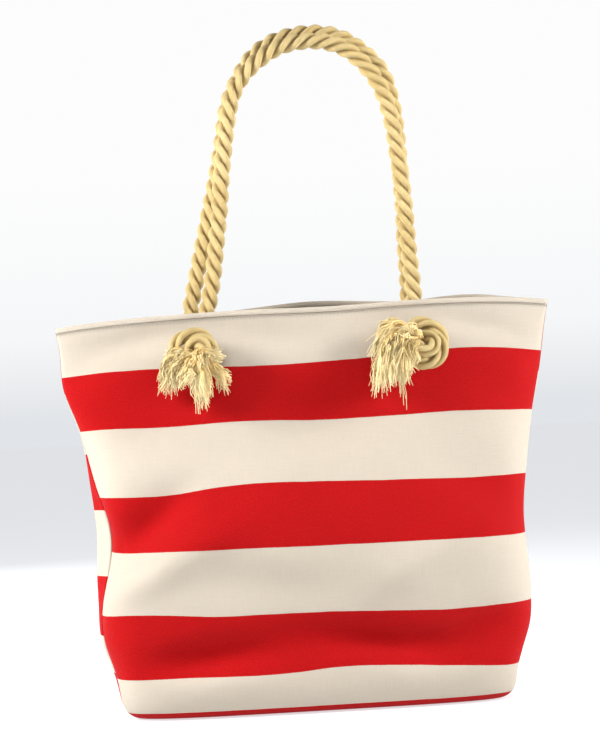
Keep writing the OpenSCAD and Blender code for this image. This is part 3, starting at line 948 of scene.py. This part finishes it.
# Tufts of a frayed end in millimetres, in the knot's directions: root, middle, tip, spread at each, yarns.
SHORT_TUFTS = [
    ((-8, -8, 19), (-24, -8, 27), (-25, -28, 15), (6.0, 8.5, 8.0), 32),
    ((-2, -12, 22), (0, -18, 30), (1, -39, 17), (6.0, 9.0, 8.5), 44),
    ((5, -11, 19), (15, -14, 23), (25, -32, 12), (4.0, 4.5, 4.5), 13),
    ((-3, -9, 25), (-6, -15, 31), (-9, -27, 24), (5.0, 7.0, 7.0), 20),
    ((-9, -4, 19), (-20, 1, 22), (-27, -14, 17), (4.0, 5.0, 5.0), 10),
]
LONG_TUFTS = [
    ((-18, 6, 19), (-34, 7, 27), (-37, -34, 13), (7.0, 8.0, 7.5), 32),
    ((-18, 2, 23), (-28, 3, 33), (-29, -36, 18), (7.0, 9.0, 8.0), 38),
    ((-16, -2, 21), (-19, -6, 29), (-19, -33, 17), (6.0, 7.5, 6.5), 28),
    ((-18, 8, 19), (-31, 21, 22), (-38, -8, 16), (6.0, 6.5, 7.0), 22),
    ((-18, 9, 18), (-25, 15, 21), (-29, 15, 16), (4.0, 5.0, 6.0), 8),
]
# Fuzz of loose fibres on each knot, in the form of the tufts: root, middle, tip, spread at each, yarns.
UPRIGHT_FUZZ = [
    ((-3, -5, 26), (7, -4, 31), (17, -8, 23), (3.5, 4.5, 5.0), 16),
    ((-5, -5, 26), (-12, -4, 31), (-16, -12, 23), (3.5, 5.0, 5.0), 12),
    ((0, -6, 27), (1, -9, 32), (-1, -19, 27), (4.5, 6.5, 6.5), 20),
]
SIDEWAYS_FUZZ = [
    ((-7, 2, 25), (-13, 6, 32), (-20, 5, 25), (5.0, 6.5, 6.0), 20),
    ((-9, -6, 25), (-13, -9, 31), (-15, -20, 22), (4.5, 6.0, 6.0), 16),
]
FUZZ_SEED = 60
TASSEL_SEED = 40
FIBRE_RINGS = 8
# How fibres part from their yarn, at the root and more at the tip, in millimetres.
FIBRE_SPLIT = 0.42
PARTING = (0.8, 4.4)
# How far yarns reach along the tuft, as shares of it, and how much fibres differ from their yarn.
YARN_REACH = (0.55, 1.06)
FIBRE_REACH = 0.05
# Waves of the yarns and of each fibre: slowest and fastest pace, and rise at the root and more at the tip.
YARN_PACE = (5, 13)
YARN_WAVE = (0.6, 1.3)
FIBRE_PACE = (6, 16)
FIBRE_WAVE = (0.2, 1.1)
# Radius of a fibre at its tip and what its root adds, in millimetres, and a direction across all fibres.
FIBRE_R = (0.30, 0.28)
FIBRE_ASIDE = [0.31, 0.2, 0.93]
YARN_SHADE = (0.1, 0.9)
FIBRE_SHADE = 0.12


def tuft_fibres(dice, tuft, fibres, axes, middle):
    """Rings of every fibre of one tuft, and how far along each ring is beside its fibre's shade."""
    root, mid, tip, spread, yarns = tuft
    root, mid, tip = (np.array(p, float) for p in (root, mid, tip))
    count = yarns * fibres
    yarn = np.repeat(np.arange(yarns), fibres)
    own = dice.normal(size=(yarns, 3))
    own = own / np.linalg.norm(own, axis=1, keepdims=True) * dice.uniform(0.1, 1, (yarns, 1)) ** 0.5
    split = dice.normal(size=(count, 3)) * FIBRE_SPLIT
    reach = np.repeat(dice.uniform(*YARN_REACH, yarns), fibres) + dice.normal(size=count) * FIBRE_REACH
    share = np.linspace(0, 1, FIBRE_RINGS)
    t = share[None] * reach[:, None]
    near, half, far = (1 - t) ** 2, 2 * t * (1 - t), t * t
    curve = near[..., None] * root + half[..., None] * mid + far[..., None] * tip
    wide = np.interp(t, [0, 0.5, 1], spread)
    parting = PARTING[0] + PARTING[1] * t ** 2
    phase = dice.uniform(0, ANY_PHASE, (yarns, 3))[yarn]
    pace = dice.uniform(*YARN_PACE, (yarns, 3))[yarn]
    rise = YARN_WAVE[0] + YARN_WAVE[1] * t
    ripple = np.sin(phase[:, None] + pace[:, None] * t[..., None]) * rise[..., None]
    own_phase = dice.uniform(0, ANY_PHASE, (count, 3))[:, None]
    own_pace = dice.uniform(*FIBRE_PACE, (count, 1, 1))
    own_rise = FIBRE_WAVE[0] + FIBRE_WAVE[1] * t
    ripple += np.sin(own_phase + own_pace * t[..., None]) * own_rise[..., None]
    line = curve + own[yarn][:, None] * wide[..., None] + split[:, None] * parting[..., None] + ripple
    line = middle + (line * MM) @ axes
    along = unit(np.gradient(line, axis=1))
    side = unit(np.cross(along, FIBRE_ASIDE))
    other = np.cross(along, side)
    thick = (FIBRE_R[0] + FIBRE_R[1] * (1 - share) ** 0.5) * MM
    corner = 2 * math.pi * np.arange(3) / 3
    rings = (line[:, :, None]
             + thick[None, :, None, None] * (np.cos(corner)[:, None] * side[:, :, None]
                                             + np.sin(corner)[:, None] * other[:, :, None]))
    shade = np.repeat(dice.uniform(*YARN_SHADE, yarns), fibres) + dice.normal(size=count) * FIBRE_SHADE
    uv = np.stack([np.broadcast_to(t[..., None], rings.shape[:3]),
                   np.broadcast_to(shade[:, None, None], rings.shape[:3])], -1)
    return rings, uv


def fibre_faces(count):
    """Faces of a number of fibres of three sides, closed at both ends."""
    sides = []
    for ring in range(FIBRE_RINGS - 1):
        for k in range(3):
            a, b = ring * 3 + k, ring * 3 + (k + 1) % 3
            sides.append([a, b, b + 3, a + 3])
    last = (FIBRE_RINGS - 1) * 3
    one = np.array(sides)
    step = np.arange(count)[:, None, None] * FIBRE_RINGS * 3
    quads = (one[None] + step).reshape(-1, 4).tolist()
    caps = (np.array([[2, 1, 0], [last, last + 1, last + 2]])[None] + step).reshape(-1, 3).tolist()
    return quads + caps


def frayed_end(name, tufts, seed, axes, middle):
    """A tassel of loose fibres, as one mesh."""
    rope = bpy.context.scene.bag_rope
    dice = np.random.default_rng(seed)
    made = [tuft_fibres(dice, tuft, rope.fibres, axes, middle) for tuft in tufts]
    rings = np.concatenate([m[0] for m in made])
    uv = np.concatenate([m[1] for m in made])
    return add_mesh(name, rings.reshape(-1, 3), fibre_faces(len(rings)), uv.reshape(-1, 2), uv_name="fibre")


# ---------------------------------------------------------------- settings

def a_length(name, description, default, **limits):
    return FloatProperty(name=name, description=description, default=default, unit="LENGTH", **limits)


def a_colour(name, description, default):
    return FloatVectorProperty(name=name, description=description, default=default, size=3, min=0.0, max=1.0,
                               subtype="COLOR")


def an_angle(name, description, degrees):
    return FloatProperty(name=name, description=description, default=math.radians(degrees), subtype="ANGLE",
                         unit="ROTATION")


def a_power(name, description, default):
    return FloatProperty(name=name, description=description, default=default, min=0.0, unit="POWER")


class ClothSettings(bpy.types.PropertyGroup):
    top_band: a_length("Top band", "Cream cloth between the rim and the first stripe", 0.042, min=0.0)
    stripe: a_length("Stripe", "Width of each stripe", 0.0513, min=0.005)
    gap: a_length("Gap", "Cream cloth between two stripes", 0.0573, min=0.005)
    last_red: a_length("Last stripe", "Cloth from the rim to the stripe under the base", 0.343, min=0.0)
    back_shift: a_length("Back shift", "How much higher the back's stripes are cut", 0.036, min=0.0)
    thread: a_length("Thread", "Width of one thread of the canvas", 0.00072, min=0.0002)
    cream: a_colour("Cream", "Undyed canvas", (0.61, 0.54, 0.45))
    cream_warm: a_colour("Warm cream", "Undyed canvas where its yarns are darker", (0.55, 0.475, 0.375))
    red: a_colour("Red", "Dyed stripes", (0.57, 0.003, 0.004))
    red_deep: a_colour("Deep red", "Dyed stripes between the threads", (0.34, 0.002, 0.003))
    lining: a_colour("Lining", "Cotton inside the bag", (0.66, 0.63, 0.58))


class RopeSettings(bpy.types.PropertyGroup):
    lay: a_length("Lay", "Length of one turn of the strands", 0.039, min=0.01)
    knot_lay: a_length("Lay in the knots", "Length of a turn where the rope is knotted", 0.060, min=0.01)
    yarns: IntProperty(name="Yarns", description="Yarns seen round the rope", default=46, min=12)
    fibres: IntProperty(name="Fibres", description="Fibres in each yarn of a tassel", default=13, min=3)
    cotton: a_colour("Cotton", "Crowns of the strands", (0.90, 0.70, 0.33))
    cotton_warm: a_colour("Warm cotton", "Strands where they are more golden", (0.82, 0.61, 0.26))
    # Painted shade of the rope down between the strands.
    groove: a_colour("Groove", "Rope down between the strands", (0.60, 0.41, 0.16))
    tip: a_colour("Fibre tips", "Ends of the loose fibres", (0.90, 0.76, 0.43))


class StageSettings(bpy.types.PropertyGroup):
    azimuth: an_angle("Azimuth", "How far round to the bag's right the camera stands", -6)
    distance: a_length("Distance", "From the camera to the bag's middle", 1.98, min=0.5)
    eye: a_length("Eye height", "Height of the camera", 0.257)
    aim: a_length("Aim", "Height that the camera looks at", 0.2863)
    across: a_length("Aim across", "How far to the right the camera looks", -0.0060)
    roll: an_angle("Roll", "How far the camera is tipped", -2.6)
    lens: FloatProperty(name="Lens", description="Focal length in millimetres", default=110.0, min=20)
    key: a_power("Key light", "Power of the light on the left", 48.0)
    fill: a_power("Fill light", "Power of the light on the right", 38.0)
    rear: a_power("Back light", "Power of the light behind the bag", 20.0)


# Each lamp's name, its power's setting, its place, the height that it points at and its size.
LAMPS = [
    ("key_light", "key", (-1.55, -0.50, 0.95), 0.18, 0.6),
    ("fill_light", "fill", (1.55, -0.50, 0.85), 0.20, 0.6),
    ("back_light", "rear", (-0.70, 1.70, 0.90), 0.18, 0.8),
]
# The air's colour by how far up a direction looks, from level at 0.
AIR = [
    (0.0, (0.76, 0.78, 0.81, 1)), (0.035, (0.92, 0.93, 0.94, 1)), (0.10, (0.98, 0.98, 0.98, 1)),
    (0.20, (0.98, 0.98, 0.98, 1)), (0.30, (0.26, 0.26, 0.27, 1)),
]
FLOOR_SIZE = 40
FLOOR_Z = -0.0005


# ---------------------------------------------------------------- operators

class BEACHBAG_OT_stage(bpy.types.Operator):
    """Adds the floor, the soft lights and the camera"""
    bl_idname = "beach_bag.stage"
    bl_label = "Stage"

    def execute(self, context):
        stage = context.scene.bag_stage
        self.floor(context)
        self.air(context)
        context.scene.view_settings.view_transform = "Standard"
        for name, setting, place, aim, size in LAMPS:
            self.lamp(name, getattr(stage, setting), place, (0, 0, aim), size)
        self.camera(context, stage)
        return {"FINISHED"}

    def floor(self, context):
        bpy.ops.object.select_all(action="DESELECT")
        bpy.ops.mesh.primitive_plane_add(size=FLOOR_SIZE, location=(0, 0, FLOOR_Z))
        floor = context.object
        floor.name = "studio_floor"
        paper = Finish("floor_paper", Roughness=0.95, Specular_IOR_Level=0.1, Emission_Strength=0.63)
        paper.shader.inputs["Emission Color"].default_value = (0.96, 0.98, 1, 1)
        grain = paper.noise(paper.object_place(), 3.0, 2.0)
        tone = paper.blend(grain, (0.40, 0.41, 0.43, 1), (0.42, 0.43, 0.45, 1))
        floor.data.materials.append(paper.surface(Base_Color=tone))

    def air(self, context):
        """Pale air all round, whitest a little above the floor's edge."""
        world = bpy.data.worlds.new("studio_air")
        world.use_nodes = True
        sky = Nodes(world.node_tree)
        place = sky.node("ShaderNodeTexCoord", None, None, "Generated")
        up = sky.node("ShaderNodeSeparateXYZ", None, {0: place}, 2)
        tone = sky.node("ShaderNodeValToRGB", {"stops": AIR}, {0: up})
        sky.join(sky.tree.nodes["Background"].inputs["Color"], tone)
        context.scene.world = world

    def lamp(self, name, power, place, aim, size):
        bpy.ops.object.light_add(type="AREA", location=place)
        lamp = bpy.context.object
        lamp.name = name
        lamp.data.energy = power
        lamp.data.size = size
        lamp.rotation_euler = (Vector(aim) - Vector(place)).to_track_quat("-Z", "Y").to_euler()

    def camera(self, context, stage):
        bpy.ops.object.camera_add()
        camera = context.object
        camera.name = "studio_camera"
        aim = Vector((stage.across, 0, stage.aim))
        back = Vector((math.sin(stage.azimuth), -math.cos(stage.azimuth), 0)) * stage.distance
        camera.location = Vector((aim.x, 0, stage.eye)) + back
        look = (aim - camera.location).to_track_quat("-Z", "Y").to_matrix().to_4x4()
        camera.rotation_euler = (look @ Matrix.Rotation(stage.roll, 4, "Z")).to_euler()
        camera.data.lens = stage.lens
        context.scene.camera = camera


class BEACHBAG_OT_ropes(bpy.types.Operator):
    """Lays the two rope handles from knot to knot"""
    bl_idname = "beach_bag.ropes"
    bl_label = "Rope handles"

    def execute(self, context):
        rope = context.scene.bag_rope
        for name, route, back in (("front", FRONT_ROUTE, False), ("back", BACK_ROUTE, True)):
            line = handle_line(route, back)
            piece = laid_rope(f"{name}_rope", line, ROPE_D, rope.lay, phase=0.6 if back else 0.0)
            dress(piece, rope_cotton, body=None)
            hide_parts(f"{name}_handle_loop", f"rope_leg_{name}_left", f"rope_leg_{name}_right")
            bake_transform(piece)
        return {"FINISHED"}


class BEACHBAG_OT_knots(bpy.types.Operator):
    """Ties the four knots outside the eyelets"""
    bl_idname = "beach_bag.knots"
    bl_label = "Knots"

    def execute(self, context):
        rope = context.scene.bag_rope
        for seed, (name, side, back, sideways) in enumerate(KNOTS):
            axes, middle = knot_frame(side, back)
            turns = through(SIDEWAYS_TURNS if sideways else UPRIGHT_TURNS, 10)
            line = resample(middle + (ease(resample(turns, 1.0), 12) * MM) @ axes, KNOT_STEP)
            piece = laid_rope(f"{name}_knot", line, ROPE_D * KNOT_SIZE, rope.knot_lay, phase=0.9, taper=0.8)
            dress(piece, rope_cotton)
            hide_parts(f"knot_{name}")
            tufts = SIDEWAYS_FUZZ if sideways else UPRIGHT_FUZZ
            fuzz = frayed_end(f"{name}_knot_fuzz", tufts, FUZZ_SEED + seed, axes, middle)
            dress(fuzz, frayed_cotton)
        return {"FINISHED"}


class BEACHBAG_OT_tassels(bpy.types.Operator):
    """Frays the four rope ends"""
    bl_idname = "beach_bag.tassels"
    bl_label = "Tassels"

    def execute(self, context):
        for seed, (name, side, back, sideways) in enumerate(KNOTS):
            axes, middle = knot_frame(side, back)
            tufts = LONG_TUFTS if sideways else SHORT_TUFTS
            piece = frayed_end(f"{name}_tassel", tufts, TASSEL_SEED + seed, axes, middle)
            dress(piece, frayed_cotton, body=None)
            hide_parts(f"tassel_{name}")
            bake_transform(piece)
        return {"FINISHED"}


class BEACHBAG_OT_canvas(bpy.types.Operator):
    """Cuts the two striped canvas panels"""
    bl_idname = "beach_bag.canvas"
    bl_label = "Canvas panels"

    def execute(self, context):
        for name, panel in PANELS.items():
            keep = panel.off_eyelets()
            piece = closed_sheet(f"{name}_canvas", panel, 0, CANVAS_T, keep)
            dress(piece, striped_canvas)
            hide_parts(f"{name}_panel")
        return {"FINISHED"}


class BEACHBAG_OT_lining(bpy.types.Operator):
    """Sews in the linings, the facing strips and the slip pocket"""
    bl_idname = "beach_bag.lining"
    bl_label = "Lining, facings and pocket"

    def execute(self, context):
        for name, panel in PANELS.items():
            low = panel.between(-MM, FACING_Z - CLOTH_GAP)
            piece = closed_sheet(f"{name}_inner_lining", panel, FACING_IN, LINING_T, low)
            dress(piece, lining_cotton)
            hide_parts(f"{name}_lining")
            high = panel.between(FACING_Z, PANEL_TOP) & panel.off_eyelets()
            piece = closed_sheet(f"{name}_inner_facing", panel, FACING_IN, FACING_T, high)
            dress(piece, plain_canvas)
            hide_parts(f"{name}_facing")
        back = PANELS["back"]
        patch = back.between(POCKET_LOW, POCKET_TOP, POCKET_SHARE)
        piece = closed_sheet("inner_pocket", back, POCKET_IN, LINING_T, patch)
        dress(piece, lining_cotton)
        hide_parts("slip_pocket")
        return {"FINISHED"}


class BEACHBAG_OT_rim(bpy.types.Operator):
    """Rolls the edge of each panel and stitches under it"""
    bl_idname = "beach_bag.rim"
    bl_label = "Rolled edges and stitches"

    def execute(self, context):
        for name, panel in PANELS.items():
            self.roll(name, panel)
            outer = panel.layer(-STITCH_PROUD)
            inner = panel.layer(LAYERS_T + STITCH_PROUD)
            outward = panel.outward()
            rows = [(outer[1], outward[1]), (inner[1], -outward[1])]
            low = panel.row_at(FACING_Z + FACING_HEM)
            rows.append((inner[low], -outward[low]))
            piece = stitch_row(f"{name}_rim_stitches", rows)
            dress(piece, sewing_thread)
        back = PANELS["back"]
        pocket = back.layer(POCKET_IN + LINING_T + STITCH_PROUD)
        outward = -back.outward()
        columns = np.abs(back.sweep[len(back.z) // 2]) <= POCKET_SHARE - 0.01
        first, last = np.flatnonzero(columns)[[0, -1]]
        top = back.row_at(POCKET_TOP - FACING_HEM)
        low = back.row_at(POCKET_LOW + POCKET_HEM)
        rows = [
            (pocket[top, first:last], outward[top, first:last]),
            (pocket[low, first:last], outward[low, first:last]),
            (pocket[top:low, first], outward[top:low, first]),
            (pocket[top:low, last], outward[top:low, last]),
        ]
        piece = stitch_row("pocket_stitches", rows)
        dress(piece, sewing_thread)
        return {"FINISHED"}

    def roll(self, name, panel):
        """A rounded bar of folded cloth over the top of the panel."""
        inner, outer = LAYERS_T + ROLL_PROUD, -ROLL_PROUD
        half, middle = (inner - outer) / 2, (inner + outer) / 2
        corner = 2 * math.pi * np.arange(ROLL_CORNERS) / ROLL_CORNERS
        push = np.sign(np.cos(corner)) * np.abs(np.cos(corner)) ** ROLL_POWER
        rise = np.sign(np.sin(corner)) * np.abs(np.sin(corner)) ** ROLL_POWER
        edge = []
        for p, r in zip(push, rise):
            lift = (0.5 + 0.5 * r) * (ROLL_H - ROLL_LIFT) + ROLL_LIFT
            line = shell(panel.rows[:1], panel.sweep[:1], middle + half * p)[0]
            edge.append(line + panel.shift[0] + [0, 0, lift])
        rings = np.stack(edge, 1)
        if panel.back:
            rings[..., 1] *= -1
        faces = tube_faces(len(rings), len(corner))
        if not panel.back:
            faces = [face[::-1] for face in faces]
        points = np.concatenate([rings.reshape(-1, 3), rings[:1].mean(1), rings[-1:].mean(1)])
        run = np.broadcast_to(panel.across[0][:, None], rings.shape[:2])
        around = np.broadcast_to(corner[None] * ROLL_WRAP, rings.shape[:2])
        uv = np.concatenate([np.stack([run, around], -1).reshape(-1, 2), [[0, 0], [0, 0]]])
        piece = add_mesh(f"{name}_rolled_edge", points, faces, uv)
        dress(piece, plain_canvas)
        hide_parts(f"{name}_rim_roll")


class BEACHBAG_OT_metal(bpy.types.Operator):
    """Finishes the eyelets, the washers and the snap"""
    bl_idname = "beach_bag.metal"
    bl_label = "Metal finishes"

    def execute(self, context):
        for name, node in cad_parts.items():
            if name.startswith(("eyelet_", "washer_")):
                self.finish(node, finish_of(nickel))
            elif name.startswith("snap_"):
                self.finish(node, finish_of(dark_nickel))
        return {"FINISHED"}

    def finish(self, node, material):
        for slot in node.material_slots:
            slot.material = material


class BEACHBAG_PT_pieces(bpy.types.Panel):
    bl_idname = "BEACHBAG_PT_pieces"
    bl_label = "Beach bag"
    bl_space_type = "VIEW_3D"
    bl_region_type = "UI"
    bl_category = "Beach bag"

    def draw(self, context):
        for operator in OPERATORS:
            self.layout.operator(operator.bl_idname)
        for group in ("bag_cloth", "bag_rope", "bag_stage"):
            settings = getattr(context.scene, group)
            box = self.layout.box()
            for name in settings.bl_rna.properties.keys():
                if name not in ("rna_type", "name"):
                    box.prop(settings, name)


SETTINGS = {"bag_cloth": ClothSettings, "bag_rope": RopeSettings, "bag_stage": StageSettings}
OPERATORS = [
    BEACHBAG_OT_stage, BEACHBAG_OT_ropes, BEACHBAG_OT_knots, BEACHBAG_OT_tassels,
    BEACHBAG_OT_canvas, BEACHBAG_OT_lining, BEACHBAG_OT_rim, BEACHBAG_OT_metal,
]
PANELS = {"front": Panel(False), "back": Panel(True)}


def register():
    for name, group in SETTINGS.items():
        bpy.utils.register_class(group)
        setattr(bpy.types.Scene, name, PointerProperty(type=group))
    for operator in OPERATORS:
        bpy.utils.register_class(operator)
    bpy.utils.register_class(BEACHBAG_PT_pieces)


def unregister():
    bpy.utils.unregister_class(BEACHBAG_PT_pieces)
    for operator in reversed(OPERATORS):
        bpy.utils.unregister_class(operator)
    for name, group in SETTINGS.items():
        delattr(bpy.types.Scene, name)
        bpy.utils.unregister_class(group)


def main():
    register()
    bpy.ops.beach_bag.stage()
    bpy.ops.beach_bag.ropes()
    bpy.ops.beach_bag.knots()
    bpy.ops.beach_bag.tassels()
    bpy.ops.beach_bag.canvas()
    bpy.ops.beach_bag.lining()
    bpy.ops.beach_bag.rim()
    bpy.ops.beach_bag.metal()


if __name__ == "__main__":
    main()
